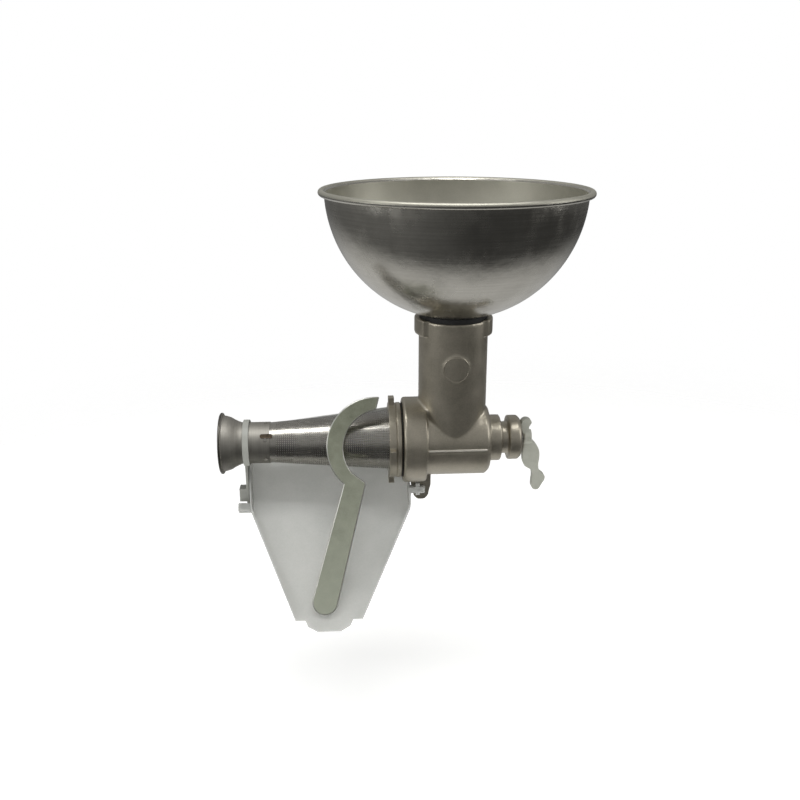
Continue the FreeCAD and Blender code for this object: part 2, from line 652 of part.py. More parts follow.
# Strap: a loop round the funnel's neck with a tail down the tray's left wall
def make_strap():
    start = cone_end - d.strap_back
    inner = d.neck_r + d.strap_play
    loop = Part.makeCylinder(inner + d.strap_t, d.strap_w, Vector(start, 0, 0), Vector(1, 0, 0))
    tail_corner = Vector(start, -d.strap_eye_w / 2, -inner - d.strap_tail)
    tail = Part.makeBox(d.strap_t, d.strap_eye_w, d.strap_tail, tail_corner)
    eye = peg(0, d.strap_knob_len * 2, d.peg_size, float(d.peg_play))
    knob_low = eye.BoundBox.Center.z - d.strap_knob_h / 2
    knob_corner = Vector(start - d.strap_knob_len, -d.strap_eye_w / 2, knob_low)
    knob = Part.makeBox(d.strap_knob_len + d.strap_t, d.strap_eye_w, d.strap_knob_h, knob_corner)
    hole = Part.makeCylinder(inner, d.strap_w * 3, Vector(start - d.strap_w, 0, 0), Vector(1, 0, 0))
    return loop.fuse([tail, knob]).cut(hole).cut(eye)


shaped("tray_strap", make_strap())


# Ring spanner: a hook that fits the ring nut, and a flat grip, drawn round the hook's own centre
def hook_point(radius, degrees, centre=Vector()):
    turn = math.radians(degrees)
    return centre + Vector(radius * math.cos(turn), radius * math.sin(turn), 0)


def make_spanner():
    back_c = Vector(-d.hook_off, d.hook_rise, 0)
    turn = math.radians(d.grip_turn)
    along = Vector(-math.sin(turn), -math.cos(turn), 0)
    across = Vector(math.cos(turn), -math.sin(turn), 0)
    nose_in = hook_point(d.hook_r, d.hook_start)
    nose_out = hook_point(d.hook_back_r, d.hook_nose, back_c)
    hook_end = hook_point(d.hook_r, d.hook_stop)
    neck_left = hook_point(d.hook_back_r, d.hook_neck, back_c)
    neck_right = neck_left + across * d.grip_neck_w - along * d.grip_shoulder
    foot = neck_left + across * (d.grip_neck_w / 2) + along * (d.grip_len - d.grip_w / 2)
    foot_left = foot - across * (d.grip_w / 2)
    foot_right = foot + across * (d.grip_w / 2)
    foot_end = foot + along * (d.grip_w / 2)
    back_middle = hook_point(d.hook_back_r, (d.hook_nose + d.hook_neck) / 2, back_c)
    edges = [
        Part.makeLine(nose_out, nose_in),
        Part.Arc(nose_in, hook_point(d.hook_r, (d.hook_start + d.hook_stop) / 2), hook_end).toShape(),
        Part.makeLine(hook_end, neck_right),
        Part.makeLine(neck_right, foot_right),
        Part.Arc(foot_right, foot_end, foot_left).toShape(),
        Part.makeLine(foot_left, neck_left),
        Part.Arc(neck_left, back_middle, nose_out).toShape(),
    ]
    plate = Part.Face(Part.Wire(edges)).extrude(Vector(0, 0, d.spanner_t))
    return plate, -plate.BoundBox.YMin


# The spanner stands on the chute by its foot and leans past the front of the cone
def lean_angle(reach):
    floor = d.tray_drop - d.tray_sheet - d.spanner_seat
    low = d.spanner_hang + reach
    swing = math.degrees(math.acos(-floor / math.hypot(d.spanner_stand, low)))
    return d.tray_slope + swing - math.degrees(math.atan2(low, d.spanner_stand))


spanner_plate, spanner_reach = make_spanner()
spanner = shaped("ring_spanner", spanner_plate)
lean = lean_angle(spanner_reach)
hook_centre = Vector(nut_front - d.spanner_front, -d.spanner_hang, d.spanner_stand)
spanner.Placement = FreeCAD.Placement(Vector(), Rotation(Vector(1, 0, 0), lean)).multiply(
    FreeCAD.Placement(hook_centre, Rotation()))
print("spanner leans %.1f degrees" % lean)

doc.recompute()
os.makedirs("parts", exist_ok=True)
for obj in doc.Objects:
    if "Invalid" in obj.State or "Error" in obj.State:
        raise RuntimeError("%s failed: %s" % (obj.Label, obj.State))
for obj in pieces:
    if obj.Shape.isNull() or not obj.Shape.isValid():
        raise RuntimeError("%s has no valid shape" % obj.Label)
for obj in pieces:
    obj.Shape.exportStep("parts/%s.step" % obj.Label)
    box = obj.Shape.BoundBox
    span = (box.XMin, box.XMax, box.YMin, box.YMax, box.ZMin, box.ZMax)
    print(obj.Label, len(obj.Shape.Solids), "solids, x %.1f..%.1f y %.1f..%.1f z %.1f..%.1f" % span)
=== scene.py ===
import json
import math
import bmesh
import bpy
from mathutils import Matrix, Vector


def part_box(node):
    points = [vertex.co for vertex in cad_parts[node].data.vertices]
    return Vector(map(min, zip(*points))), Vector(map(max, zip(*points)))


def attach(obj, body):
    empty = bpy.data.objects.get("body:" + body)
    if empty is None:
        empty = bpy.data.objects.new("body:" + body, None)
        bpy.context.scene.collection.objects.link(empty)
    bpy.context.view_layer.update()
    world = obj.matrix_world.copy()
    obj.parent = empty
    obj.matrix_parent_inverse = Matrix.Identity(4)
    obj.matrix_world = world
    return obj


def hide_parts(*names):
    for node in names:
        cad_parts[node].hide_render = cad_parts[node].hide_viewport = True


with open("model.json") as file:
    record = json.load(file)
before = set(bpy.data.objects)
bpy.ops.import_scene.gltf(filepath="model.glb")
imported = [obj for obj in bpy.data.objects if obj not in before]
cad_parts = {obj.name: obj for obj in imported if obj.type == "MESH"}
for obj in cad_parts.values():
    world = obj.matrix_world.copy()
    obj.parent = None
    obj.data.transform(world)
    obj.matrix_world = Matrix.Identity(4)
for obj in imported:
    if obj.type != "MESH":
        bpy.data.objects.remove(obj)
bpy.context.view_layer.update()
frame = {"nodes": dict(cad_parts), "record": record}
nodes = frame["nodes"]
slotOf = {part["node"]: part["material_slot"] for part in frame["record"]["subparts"]}
bodyOf = {node: body for body, members in frame["record"]["behaviour"]["bodies"].items() for node in members}
print("frame loaded with", len(nodes), "nodes")

mm = 0.001
mergeMm = 0.01  # points closer than this are one
bowlLow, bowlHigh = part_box("bowl")
columnX = (bowlLow.x + bowlHigh.x) / 2  # the axis that bowl and column share
coneLow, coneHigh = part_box("filter_cone")

# materials: colours are sRGB hex, sizes are millimetres
cloudNoise = {"Detail": 5.0, "Roughness": 0.62}
grainNoise = {"Detail": 3.0, "Roughness": 0.55}
lineNoise = {"Detail": 4.0, "Roughness": 0.6}
smearNoise = {"Detail": 3.0, "Roughness": 0.6}
noiseSpan = (0.3, 0.7)  # most of a noise's values lie between these
grainShare = 0.35  # the fine grain's part in a clouded surface's drift


def linearFromHex(text):
    parts = [int(text[i:i + 2], 16) / 255 for i in (1, 3, 5)]
    return [c / 12.92 if c <= 0.04045 else ((c + 0.055) / 1.055) ** 2.4 for c in parts] + [1.0]


# a socket is linked, anything else is set
def setInputs(tree, node, inputs):
    for name, value in inputs.items():
        if isinstance(value, bpy.types.NodeSocket):
            tree.links.new(value, node.inputs[name])
        else:
            node.inputs[name].default_value = value


# sockets by number: Map Range has its value at 0, from at 1 and 2, to at 3 and 4;
# Mix has its share at 0, two numbers at 2 and 3, two colours at 6 and 7, and gives the mixed colour at 2
def addNode(tree, kind, settings=None, inputs=None):
    node = tree.nodes.new(kind)
    for name, value in (settings or {}).items():
        setattr(node, name, value)
    setInputs(tree, node, inputs or {})
    return node


def newMaterial(name):
    material = bpy.data.materials.new(name)
    material.use_nodes = True
    tree = material.node_tree
    place = addNode(tree, "ShaderNodeTexCoord").outputs["Object"]
    return material, tree, tree.nodes["Principled BSDF"], place


# colour and roughness that follow the same drift
def tintAndGloss(tree, drift, look):
    tint = addNode(tree, "ShaderNodeValToRGB", inputs={"Fac": drift})
    for element, position, colour in zip(tint.color_ramp.elements, noiseSpan, (look["low"], look["high"])):
        element.position = position
        element.color = linearFromHex(colour)
    gloss = addNode(tree, "ShaderNodeMapRange", inputs={
        0: drift, 1: noiseSpan[0], 2: noiseSpan[1], 3: look["rough"][0], 4: look["rough"][1]})
    return tint.outputs["Color"], gloss.outputs[0]


# a surface whose colour and gloss drift slowly and whose skin has a fine grain
def clouded(look):
    material, tree, shader, place = newMaterial(look["name"])
    cloud = addNode(tree, "ShaderNodeTexNoise", inputs={
        "Vector": place, "Scale": 1000 / look["cloudMm"], **cloudNoise})
    grain = addNode(tree, "ShaderNodeTexNoise", inputs={
        "Vector": place, "Scale": 1000 / look["grainMm"], **grainNoise})
    drift = addNode(tree, "ShaderNodeMix", {"data_type": "FLOAT"}, {
        0: grainShare, 2: cloud.outputs["Fac"], 3: grain.outputs["Fac"]})
    colour, rough = tintAndGloss(tree, drift.outputs[0], look)
    # painted light: the colour turns paler towards the bottom, as if lit from the pale tray below
    if "paintedPaling" in look:
        paintedPaling = look["paintedPaling"]
        height = addNode(tree, "ShaderNodeSeparateXYZ", inputs={0: place})
        paintedPalingShare = addNode(tree, "ShaderNodeMapRange", inputs={
            0: height.outputs["Z"], 1: paintedPaling["topMm"] * mm, 2: paintedPaling["footMm"] * mm, 3: 0.0, 4: paintedPaling["share"]})
        paler = addNode(tree, "ShaderNodeMix", {"data_type": "RGBA"}, {
            0: paintedPalingShare.outputs[0], 6: colour, 7: linearFromHex(paintedPaling["to"])})
        colour = paler.outputs[2]
    bump = addNode(tree, "ShaderNodeBump", inputs={
        "Height": grain.outputs["Fac"], "Strength": look["bump"], "Distance": look["bumpMm"] * mm})
    setInputs(tree, shader, {
        "Base Color": colour, "Roughness": rough, "Normal": bump.outputs["Normal"],
        "Metallic": look["metal"], **look.get("sockets", {})})
    return material


# a metal with fine lines, lineMm along x, y and z, over long shallow waves
def lined(look):
    material, tree, shader, place = newMaterial(look["name"])
    spread = addNode(tree, "ShaderNodeMapping", {"vector_type": "POINT"}, {
        "Vector": place, "Scale": [1000 / size for size in look["lineMm"]]})
    lines = addNode(tree, "ShaderNodeTexNoise", inputs={
        "Vector": spread.outputs[0], "Scale": 1.0, **lineNoise})
    cloud = addNode(tree, "ShaderNodeTexNoise", inputs={
        "Vector": place, "Scale": 1000 / look["cloudMm"], **lineNoise})
    drift = addNode(tree, "ShaderNodeMix", {"data_type": "FLOAT"}, {
        0: look["lineShare"], 2: cloud.outputs["Fac"], 3: lines.outputs["Fac"]})
    colour, rough = tintAndGloss(tree, drift.outputs[0], look)
    if "scuff" in look:
        scuff = look["scuff"]
        patches = addNode(tree, "ShaderNodeMapping", {"vector_type": "POINT"}, {
            "Vector": place, "Scale": [1000 / size for size in scuff["patchMm"]]})
        smear = addNode(tree, "ShaderNodeTexNoise", inputs={
            "Vector": patches.outputs[0], "Scale": 1.0, **smearNoise})
        haze = addNode(tree, "ShaderNodeMapRange", inputs={
            0: smear.outputs["Fac"], 1: scuff["span"][0], 2: scuff["span"][1], 3: 0.0, 4: scuff["adds"]})
        hazed = addNode(tree, "ShaderNodeMath", {"operation": "ADD"}, {0: rough, 1: haze.outputs[0]})
        rough = hazed.outputs[0]
    wave = addNode(tree, "ShaderNodeBump", inputs={
        "Height": cloud.outputs["Fac"], "Strength": 1.0, "Distance": look["waveMm"] * mm})
    bump = addNode(tree, "ShaderNodeBump", inputs={
        "Height": lines.outputs["Fac"], "Strength": look["bump"], "Distance": look["bumpMm"] * mm,
        "Normal": wave.outputs["Normal"]})
    setInputs(tree, shader, {
        "Base Color": colour, "Roughness": rough, "Normal": bump.outputs["Normal"], "Metallic": 1.0})
    return material


# grain and lines finer than a millimetre are drawn at about a millimetre, so that the render shows them
finishes = {
    # tinned cast iron: sand-cast skin under satin tin, warm grey and a little blotchy
    "tinned_casting": clouded({
        "name": "tinnedCastIron", "low": "#a49e8f", "high": "#c7c0b0", "cloudMm": 22.0, "grainMm": 1.3,
        "rough": (0.31, 0.43), "bump": 0.35, "bumpMm": 0.25, "metal": 0.88}),
    # spun aluminium: soft mirror with rings round the axis left by the roller, hazed by scuffs here and there
    "spun_bowl": lined({
        "name": "spunAluminium", "low": "#aeaba2", "high": "#cfccc3", "cloudMm": 45.0,
        "lineMm": (60.0, 60.0, 1.1), "lineShare": 0.38, "rough": (0.13, 0.3), "bump": 0.12, "bumpMm": 0.12,
        "waveMm": 0.6, "scuff": {"patchMm": (20.0, 20.0, 34.0), "span": (0.48, 0.76), "adds": 0.14}}),
    # stainless sheet, brushed along the cone: long glints between its holes
    "stainless_sheet": lined({
        "name": "brushedStainless", "low": "#9d9a93", "high": "#c3c0b8", "cloudMm": 30.0,
        "lineMm": (40.0, 0.9, 0.9), "lineShare": 0.55, "rough": (0.2, 0.32), "bump": 0.15, "bumpMm": 0.1,
        "waveMm": 0.2}),
    # zinc plate on pressed steel: dull grey with a green cast, painted paler towards the grip's foot as light
    # from the pale tray below
    "zinc_plate": clouded({
        "name": "zincPlatedSteel", "low": "#7b7e6d", "high": "#a2a592", "cloudMm": 11.0, "grainMm": 0.9,
        "rough": (0.4, 0.52), "bump": 0.15, "bumpMm": 0.12, "metal": 0.55,
        "paintedPaling": {"topMm": 30.0, "footMm": -150.0, "to": "#c4c9b8", "share": 0.65}}),
    # steel turned on a lathe: bright, with rings round the shaft
    "bright_steel": lined({
        "name": "turnedSteel", "low": "#b6b6b4", "high": "#d4d4d2", "cloudMm": 20.0,
        "lineMm": (0.8, 30.0, 30.0), "lineShare": 0.6, "rough": (0.18, 0.28), "bump": 0.15, "bumpMm": 0.1,
        "waveMm": 0.2}),
    # spring steel, hardened and oiled: dark grey with a soft gloss
    "spring_steel": clouded({
        "name": "oiledSpringSteel", "low": "#55555a", "high": "#77777c", "cloudMm": 8.0, "grainMm": 0.8,
        "rough": (0.3, 0.42), "bump": 0.15, "bumpMm": 0.1, "metal": 1.0}),
    # bearing bronze, turned: brown-gold, with rings round the bore
    "bearing_bronze": lined({
        "name": "turnedBronze", "low": "#a87f48", "high": "#cfa468", "cloudMm": 12.0,
        "lineMm": (0.8, 20.0, 20.0), "lineShare": 0.6, "rough": (0.25, 0.35), "bump": 0.15, "bumpMm": 0.1,
        "waveMm": 0.2}),
    # polypropylene, moulded: milky, lets light through, soft gloss
    "milky_plastic": clouded({
        "name": "milkyPolypropylene", "low": "#a7a8a4", "high": "#b4b4b0", "cloudMm": 40.0, "grainMm": 1.6,
        "rough": (0.15, 0.24), "bump": 0.08, "bumpMm": 0.15, "metal": 0.0,
        "sockets": {"IOR": 1.49, "Subsurface Weight": 0.85, "Subsurface Radius": (0.009, 0.009, 0.009),
                    "Subsurface Scale": 1.0}}),
    # polypropylene with white in it, moulded: lets no light through, off-white and dull
    "white_strap": clouded({
        "name": "whitePolypropylene", "low": "#9a9b94", "high": "#acada6", "cloudMm": 12.0, "grainMm": 0.8,
        "rough": (0.4, 0.5), "bump": 0.1, "bumpMm": 0.1, "metal": 0.0, "sockets": {"IOR": 1.49}}),
    # nylon, cast: cream and waxy
    "screw_nylon": clouded({
        "name": "castNylon", "low": "#ddd9cb", "high": "#ebe8dc", "cloudMm": 25.0, "grainMm": 1.0,
        "rough": (0.35, 0.48), "bump": 0.1, "bumpMm": 0.1, "metal": 0.0, "sockets": {"IOR": 1.53}}),
    # acetal, moulded: pale grey and satin
    "pale_lever": clouded({
        "name": "mouldedAcetal", "low": "#a9aa9e", "high": "#bcbdb2", "cloudMm": 10.0, "grainMm": 0.9,
        "rough": (0.42, 0.55), "bump": 0.12, "bumpMm": 0.12, "metal": 0.0, "sockets": {"IOR": 1.5}}),
    # nitrile rubber, moulded: black and matt; on the seat ring between bowl and column this black also stands
    # for the shade in that gap
    "seal_rubber": clouded({
        "name": "nitrileAndGapShade", "low": "#1a1a1a", "high": "#262625", "cloudMm": 8.0, "grainMm": 0.7,
        "rough": (0.6, 0.75), "bump": 0.15, "bumpMm": 0.1, "metal": 0.0, "sockets": {"IOR": 1.52}}),
}
for name, node in nodes.items():
    node.data.materials.clear()
    node.data.materials.append(finishes[slotOf[name]])
nodes["wing_pin"].data.materials[0] = finishes[slotOf["drive_wing"]]  # its ends look as the lever does
print("finishes on the solids:", len(finishes))


# takes a finished bmesh into the scene
def placeMesh(bm, name, coats, smooth=True):
    mesh = bpy.data.meshes.new(name)
    bm.to_mesh(mesh)
    bm.free()
    for face in mesh.polygons:
        face.use_smooth = smooth
    for coat in coats:
        mesh.materials.append(coat)
    placed = bpy.data.objects.new(name, mesh)
    bpy.context.scene.collection.objects.link(placed)
    return placed


# a piece that is seen in a solid's place
def addPiece(bm, name, standsFor, creaseDeg=38.0, coats=None):
    piece = placeMesh(bm, name, coats or [finishes[slotOf[standsFor]]])
    piece.data.set_sharp_from_angle(angle=math.radians(creaseDeg))
    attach(piece, bodyOf[standsFor])
    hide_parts(standsFor)
    return piece


# small trim that no solid has, carried by the solid that it sits on
def addTrim(bm, name, sitsOn, coat, smooth=True):
    trim = placeMesh(bm, name, [coat], smooth)
    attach(trim, bodyOf[sitsOn])


# turns the line or ring that the bmesh holds once round an axis
def turnRound(bm, middle, axis, steps):
    bmesh.ops.spin(bm, geom=bm.verts[:] + bm.edges[:], cent=middle, axis=axis, angle=math.tau, steps=steps,
                   use_merge=True)
    bmesh.ops.remove_doubles(bm, verts=bm.verts, dist=mergeMm * mm)
    bmesh.ops.recalc_face_normals(bm, faces=bm.faces)


# a solid's own shape with its sharp edges rounded off
def roundedCopy(nodeName, pieceName, look, edgeCoat=None):
    bm = bmesh.new()
    bm.from_mesh(nodes[nodeName].data)
    bmesh.ops.remove_doubles(bm, verts=bm.verts, dist=look["weldMm"] * mm)
    bmesh.ops.dissolve_limit(bm, angle_limit=math.radians(look["flatDeg"]), verts=bm.verts, edges=bm.edges)
    leastTurn = math.radians(look["sharpDeg"])
    sharp = [e for e in bm.edges if len(e.link_faces) == 2 and e.calc_face_angle(0.0) > leastTurn]
    short = [e for e in sharp if e.calc_length() < look["roundMm"] * mm]
    narrow = {v for e in short for v in e.verts}  # no room to round there
    sharp = [e for e in sharp if not narrow.intersection(e.verts)]
    rounded = bmesh.ops.bevel(bm, geom=sharp, offset=look["roundMm"] * mm, offset_type="OFFSET",
                              segments=look["steps"], profile=0.5, affect="EDGES", clamp_overlap=False,
                              material=-1)
    for face in rounded["faces"]:
        face.material_index = 1 if edgeCoat else 0
    coats = [finishes[slotOf[nodeName]]] + ([edgeCoat] if edgeCoat else [])
    piece = addPiece(bm, pieceName, nodeName, coats=coats)
    even = piece.modifiers.new("evenShade", "WEIGHTED_NORMAL")  # keeps flat faces flat beside rounded edges
    even.keep_sharp = True
    return piece


# a solid's own shape poured anew, so that every edge and inside corner is soft as in a casting or moulding
def pouredCopy(nodeName, pieceName, look):
    blank = bpy.data.objects.new("blank", nodes[nodeName].data.copy())
    bpy.context.scene.collection.objects.link(blank)
    weld = blank.modifiers.new("weld", "WELD")
    weld.merge_threshold = look["weldMm"] * mm
    pour = blank.modifiers.new("pour", "REMESH")
    pour.mode = "VOXEL"
    pour.voxel_size = look["voxelMm"] * mm
    ease = blank.modifiers.new("ease", "SMOOTH")
    ease.factor = look["easeShare"]
    ease.iterations = look["easeTimes"]
    bpy.context.view_layer.update()
    poured = bpy.data.meshes.new_from_object(blank.evaluated_get(bpy.context.evaluated_depsgraph_get()))
    bpy.data.objects.remove(blank)
    bm = bmesh.new()
    bm.from_mesh(poured)
    bpy.data.meshes.remove(poured)
    print(pieceName, "has", len(bm.faces), "faces")
    addPiece(bm, pieceName, nodeName, creaseDeg=look["creaseDeg"])


# housing: one casting, every corner run soft
castHead = {"weldMm": 0.02, "voxelMm": 1.0, "easeShare": 0.5, "easeTimes": 5, "creaseDeg": 70.0}
pouredCopy("housing", "castHead", castHead)

# ring nut, with the sleeve that shows in the gap before the collar
lockRing = {"weldMm": 0.05, "flatDeg": 0.5, "sharpDeg": 32, "roundMm": 0.45, "steps": 2,
            "sleeveFromMm": -113.3, "sleeveMm": (36.0, 36.7)}
# painted shade on the nut's thread: dull black, the dark line between ring nut and collar where the gap lies
# in shade
paintedGapShade = clouded({
    "name": "paintedGapShade", "low": "#14120e", "high": "#2b2720", "cloudMm": 6.0, "grainMm": 0.8,
    "rough": (0.5, 0.65), "bump": 0.15, "bumpMm": 0.1, "metal": 0.3})


def makeRing(look):
    ring = roundedCopy("ring_nut", "lockRing", look).data
    ring.materials.append(paintedGapShade)
    inner, outer = look["sleeveMm"]
    for face in ring.polygons:
        onSleeve = inner < face.center.yz.length / mm < outer
        # sleeve faces inside the gap take the painted shade
        if onSleeve and face.center.x > look["sleeveFromMm"] * mm:
            face.material_index = 1


makeRing(lockRing)

# hook spanner, the edges of its plate worn
hookSpanner = {"weldMm": 0.05, "flatDeg": 0.5, "sharpDeg": 32, "roundMm": 1.1, "steps": 3}
# steel rubbed bare along the edges: bright where the light comes from, dark where it doesn't
rubbedSteel = clouded({
    "name": "rubbedSteel", "low": "#c9cabf", "high": "#eeeee8", "cloudMm": 9.0, "grainMm": 0.9,
    "rough": (0.26, 0.38), "bump": 0.15, "bumpMm": 0.1, "metal": 1.0})
roundedCopy("ring_spanner", "hookSpanner", hookSpanner, rubbedSteel)

# moulded lever, tray and strap
leverBar = {"weldMm": 0.02, "voxelMm": 0.45, "easeShare": 0.5, "easeTimes": 6, "creaseDeg": 70.0}
pouredCopy("drive_wing", "leverBar", leverBar)
trayShell = {"weldMm": 0.05, "flatDeg": 0.5, "sharpDeg": 32, "roundMm": 0.6, "steps": 3}
roundedCopy("drip_tray", "trayShell", trayShell)
neckStrap = {"weldMm": 0.05, "flatDeg": 0.5, "sharpDeg": 32, "roundMm": 0.5, "steps": 2}
roundedCopy("tray_strap", "neckStrap", neckStrap)
print("copies of the solids made")

# parting line of the mould, a low rib along the barrel's front and back
partingRib = {"fromMm": -88.6, "toMm": -31.0, "outMm": 35.2, "wideMm": 1.9, "proudMm": 1.1, "upMm": 0.7,
              "roundMm": 0.6, "steps": 3}
# tin painted paler on the rib: a painted highlight, the rib's thin light line as lit from above
paintedRibHighlight = clouded({
    "name": "paintedRibHighlight", "low": "#d6d1c4", "high": "#f0ece1", "cloudMm": 14.0, "grainMm": 1.0,
    "rough": (0.3, 0.42), "bump": 0.2, "bumpMm": 0.15, "metal": 0.6})


def makeRib(look, name, side):
    bm = bmesh.new()
    length = look["toMm"] - look["fromMm"]
    middle = Vector((look["fromMm"] + length / 2, side * look["outMm"], look["upMm"])) * mm
    size = Matrix.Diagonal((length * mm, 2 * look["proudMm"] * mm, look["wideMm"] * mm, 1))
    bmesh.ops.create_cube(bm, size=1.0, matrix=Matrix.Translation(middle) @ size)
    bmesh.ops.bevel(bm, geom=bm.edges[:], offset=look["roundMm"] * mm, offset_type="OFFSET",
                    segments=look["steps"], profile=0.5, affect="EDGES", material=-1)
    # the rib carries the painted highlight
    addTrim(bm, name, "housing", paintedRibHighlight)


makeRib(partingRib, "partingRibFront", -1)
makeRib(partingRib, "partingRibBack", 1)

# plain raised ring round the cast pad, bent to the column's front
padRing = {"ringMm": 12.0, "barMm": 0.75, "upMm": 81.0, "columnMm": 33.4, "around": 72, "barSteps": 12}


def makePadRing(look):
    bm = bmesh.new()
    bmesh.ops.create_circle(bm, segments=look["barSteps"], radius=look["barMm"] * mm,
                            matrix=Matrix.Translation((look["ringMm"] * mm, 0, 0)))
    turnRound(bm, (0, 0, 0), (0, 1, 0), look["around"])
    for vert in bm.verts:
        vert.co.y -= math.sqrt((look["columnMm"] * mm) ** 2 - vert.co.x ** 2)
    bmesh.ops.translate(bm, verts=bm.verts, vec=(columnX, 0, look["upMm"] * mm))
    addTrim(bm, "padRing", "housing", finishes["tinned_casting"])


makePadRing(padRing)
print("trim on the casting made")

# hopper bowl: half a ball of sheet with its middle at middleMm, the edge rolled outwards as over a wire
bowlShell = {"middleMm": 245.4, "radiusMm": 119.4, "sheetMm": 1.3, "holeMm": 27.7, "around": 160, "up": 40,
             "rollMm": 2.9, "rollOutMm": 3.9, "rollFromDeg": 30, "rollDeg": 300, "rollSteps": 18,
             "insideShare": 0.9}
# aluminium dulled by washing: the bowl's inside and the top of its roll, even and satin
dulledAluminium = clouded({
    "name": "dulledAluminium", "low": "#a8a69a", "high": "#bcbaae", "cloudMm": 35.0, "grainMm": 1.2,
    "rough": (0.46, 0.56), "bump": 0.12, "bumpMm": 0.12, "metal": 1.0})


def makeBowl(look):
    bm = bmesh.new()
    ball = Vector((columnX, 0, look["middleMm"] * mm))
    r = look["radiusMm"] * mm
    low = math.asin(look["holeMm"] / look["radiusMm"])
    high = math.pi / 2 - math.asin((look["rollMm"] + look["sheetMm"] / 2) / look["radiusMm"])
    first = bm.verts.new(ball + Vector((r * math.sin(low), 0, -r * math.cos(low))))
    bmesh.ops.spin(bm, geom=[first], cent=ball, axis=(0, -1, 0), angle=high - low, steps=look["up"])
    edge = max(bm.verts, key=lambda v: v.co.z)
    roll = edge.co + Vector((look["rollOutMm"] * mm, 0, 0))
    lean = Matrix.Rotation(math.radians(look["rollFromDeg"]), 3, "Y")
    start = bm.verts.new(roll + lean @ Vector((-look["rollMm"] * mm, 0, 0)))
    bm.edges.new((edge, start))
    bmesh.ops.spin(bm, geom=[start], cent=roll, axis=(0, 1, 0), angle=math.radians(look["rollDeg"]),
                   steps=look["rollSteps"])
    turnRound(bm, ball, (0, 0, 1), look["around"])
    bmesh.ops.solidify(bm, geom=bm.faces[:], thickness=look["sheetMm"] * mm)
    for face in bm.faces:
        middle = face.calc_center_median()
        inside = face.normal.dot(ball - middle) > look["insideShare"] * r
        rolled = (middle.xy - ball.xy).length > r + look["sheetMm"] * mm
        if inside or (rolled and face.normal.z > 0):
            face.material_index = 1
    addPiece(bm, "spunBowl", "bowl", coats=[finishes["spun_bowl"], dulledAluminium])


makeBowl(bowlShell)

# outlet funnel: neck, flare and a rolled mouth, turned about the screw's axis, as (along, radius)
funnelWall = {"profileMm": [(-241.3, 19.5), (-268.8, 19.5), (-272.5, 20.8), (-276.5, 22.8), (-279.6, 24.8),
                            (-284.0, 26.2), (-288.4, 27.2)],
              "sheetMm": 0.9, "around": 128, "rimMm": -287.4, "rollMm": 1.5, "rollDeg": 300, "rollSteps": 14}
# stainless, turned: grey, with faint rings and broad soft light
turnedStainless = lined({
    "name": "turnedStainless", "low": "#908d86", "high": "#b0ada5", "cloudMm": 30.0,
    "lineMm": (0.9, 40.0, 40.0), "lineShare": 0.55, "rough": (0.52, 0.62), "bump": 0.12, "bumpMm": 0.1,
    "waveMm": 0.2})
# stainless painted dark on the rolled mouth: painted shade and dark reflection that outline the funnel's open
# end
paintedRimShade = clouded({
    "name": "paintedRimShade", "low": "#4e4c47", "high": "#6f6c66", "cloudMm": 9.0, "grainMm": 0.9,
    "rough": (0.34, 0.46), "bump": 0.15, "bumpMm": 0.1, "metal": 1.0})


def makeFunnel(look):
    bm = bmesh.new()
    line = [bm.verts.new((x * mm, 0, r * mm)) for x, r in look["profileMm"]]
    for a, b in zip(line, line[1:]):
        bm.edges.new((a, b))
    roll = line[-1].co + Vector((0, 0, look["rollMm"] * mm))
    bmesh.ops.spin(bm, geom=[line[-1]], cent=roll, axis=(0, 1, 0), angle=math.radians(look["rollDeg"]),
                   steps=look["rollSteps"])
    turnRound(bm, (0, 0, 0), (1, 0, 0), look["around"])
    bmesh.ops.solidify(bm, geom=bm.faces[:], thickness=look["sheetMm"] * mm)
    for face in bm.faces:
        # faces of the rolled mouth take the painted shade
        face.material_index = 1 if face.calc_center_median().x < look["rimMm"] * mm else 0
    addPiece(bm, "outletFunnel", "outlet_funnel", coats=[turnedStainless, paintedRimShade])


makeFunnel(funnelWall)

# bayonet slot in the neck, just past the cone: a thin dark plate, sunk within its rim, painted with the
# slot's shade and its rust
neckSlot = {"pastConeMm": 2.95, "longMm": 12.0, "wideMm": 4.2, "thickMm": 0.7, "outMm": 20.6,
            "turnDeg": 38.0, "rimMm": 0.8, "sinkMm": 0.15, "roundShare": 0.49, "steps": 5}
# steel stained brown by rust and painted dark as the shade inside the slot: brown-black and dull
slotShadeAndStain = clouded({
    "name": "slotShadeAndStain", "low": "#2a231b", "high": "#5d5040", "cloudMm": 3.0, "grainMm": 0.7,
    "rough": (0.45, 0.6), "bump": 0.2, "bumpMm": 0.1, "metal": 0.7})


def makeSlot(look):
    bm = bmesh.new()
    size = Matrix.Diagonal((look["longMm"] * mm, look["thickMm"] * mm, look["wideMm"] * mm, 1))
    bmesh.ops.create_cube(bm, size=1.0, matrix=size)
    halfThick = look["thickMm"] / 2 * mm
    corners = [e for e in bm.edges if abs(e.verts[0].co.y - e.verts[1].co.y) > halfThick]
    bmesh.ops.bevel(bm, geom=corners, offset=look["wideMm"] * look["roundShare"] * mm, offset_type="OFFSET",
                    segments=look["steps"], profile=0.5, affect="EDGES", material=-1)
    front = min(bm.faces, key=lambda f: f.calc_center_median().y)
    bmesh.ops.inset_individual(bm, faces=[front], thickness=look["rimMm"] * mm, depth=-look["sinkMm"] * mm)
    turn = Matrix.Rotation(-math.radians(look["turnDeg"]), 4, "X")
    onNeck = Matrix.Translation((coneLow.x - look["pastConeMm"] * mm, -look["outMm"] * mm, 0))
    bmesh.ops.transform(bm, matrix=turn @ onNeck, verts=bm.verts)
    # the plate's dark is the slot's painted shade, with rust brown in it
    addTrim(bm, "neckSlot", "filter_cone", slotShadeAndStain, smooth=False)


makeSlot(neckSlot)

